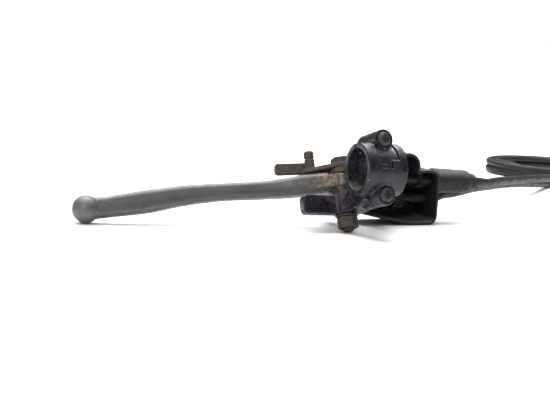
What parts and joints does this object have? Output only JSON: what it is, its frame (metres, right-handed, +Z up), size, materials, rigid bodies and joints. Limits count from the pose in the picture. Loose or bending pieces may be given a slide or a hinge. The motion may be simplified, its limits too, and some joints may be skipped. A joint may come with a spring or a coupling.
{
  "type": "clutch lever",
  "caption": "Left-hand clutch lever on a split handlebar perch, with a small parking lever on the same pivot, a rubber dust boot over the cable adjusters, and the control cables.",
  "frame": {"origin": "on the surface that the part lies on, under the middle of the box of its rigid pieces, as it lies at rest on the lever's ball, the pivot bolt's end and the boot", "axes": "+X along the handlebar from the lever's ball towards the cables, +Y away from the rider, +Z up"},
  "size_m": [0.5302, 0.3476, 0.0591],
  "materials": {
    "cast_black": "worn satin black over cast alloy",
    "worn_alloy": "dull grey cast alloy, scuffed",
    "rusty_steel": "rusted and oily",
    "screw_steel": "dull plating, rust in the cross slot",
    "dark_steel": "blackened and grimy",
    "bushing_brass": "tarnished",
    "boot_rubber": "matte with dust",
    "cable_vinyl": "satin black sheath",
    "wire_steel": "stranded wire, dull"
  },
  "bodies": {
    "perch": {"perch_body": "cast_black", "clamp_cap": "cast_black", "clamp_screw_upper": "screw_steel", "clamp_screw_lower": "screw_steel", "pivot_bolt": "rusty_steel", "pivot_washer": "rusty_steel", "pivot_nut": "rusty_steel", "clutch_ferrule": "dark_steel", "parking_ferrule": "dark_steel", "rubber_boot": "boot_rubber", "clutch_cable": "cable_vinyl", "clutch_coil": "cable_vinyl", "clutch_tail": "cable_vinyl", "clutch_end_ferrule": "dark_steel", "clutch_end_wire": "wire_steel", "parking_cable": "cable_vinyl", "parking_coil": "cable_vinyl", "parking_tail": "cable_vinyl", "parking_end_ferrule": "dark_steel", "parking_end_wire": "wire_steel"},
    "clutch_lever": {"clutch_lever": "worn_alloy", "lever_bushing": "bushing_brass"},
    "parking_lever": {"parking_lever": "rusty_steel", "parking_pin": "rusty_steel"},
    "clutch_wire": {"clutch_wire_end": "wire_steel"},
    "parking_wire": {"parking_wire_end": "wire_steel"},
    "clutch_adjuster": {"clutch_adjuster": "dark_steel"},
    "clutch_lock_ring": {"clutch_lock_ring": "dark_steel"},
    "parking_adjuster": {"parking_adjuster": "dark_steel"},
    "parking_lock_ring": {"parking_lock_ring": "dark_steel"}
  },
  "joints": [
    {"name": "clutch_pull", "type": "hinge", "parent": "perch", "child": "clutch_lever", "pos_m": [0.02301, 0.00233, 0.02679], "axis": [0.0207, 0.4115, 0.9112], "range_deg": [0, 22]},
    {"name": "parking_pull", "type": "hinge", "parent": "perch", "child": "parking_lever", "pos_m": [0.02319, 0.00574, 0.03436], "axis": [0.0207, 0.4115, 0.9112], "range_deg": [0, 24]},
    {"name": "clutch_nipple_turn", "type": "hinge", "parent": "clutch_lever", "child": "clutch_wire", "pos_m": [0.0281, 0.02738, 0.01536], "axis": [0.0207, 0.4115, 0.9112], "range_deg": [-22, 0]},
    {"name": "parking_nipple_turn", "type": "hinge", "parent": "parking_lever", "child": "parking_wire", "pos_m": [0.02676, 0.02179, 0.02703], "axis": [0.0207, 0.4115, 0.9112], "range_deg": [-24, 0]},
    {"name": "clutch_adjuster_turn", "type": "hinge", "parent": "perch", "child": "clutch_adjuster", "pos_m": [0.06314, 0.02773, 0.01441], "axis": [0.9997, 0, -0.0227], "continuous": true},
    {"name": "clutch_lock_turn", "type": "hinge", "parent": "perch", "child": "clutch_lock_ring", "pos_m": [0.06314, 0.02773, 0.01441], "axis": [0.9997, 0, -0.0227], "continuous": true},
    {"name": "parking_adjuster_turn", "type": "hinge", "parent": "perch", "child": "parking_adjuster", "pos_m": [0.07341, 0.02206, 0.02585], "axis": [0.9997, 0, -0.0227], "continuous": true},
    {"name": "parking_lock_turn", "type": "hinge", "parent": "perch", "child": "parking_lock_ring", "pos_m": [0.06441, 0.02206, 0.02605], "axis": [0.9997, 0, -0.0227], "continuous": true}
  ],
  "couplings": [
    {"joint": "clutch_nipple_turn", "follows": "clutch_pull", "ratio": -1},
    {"joint": "parking_nipple_turn", "follows": "parking_pull", "ratio": -1}
  ]
}
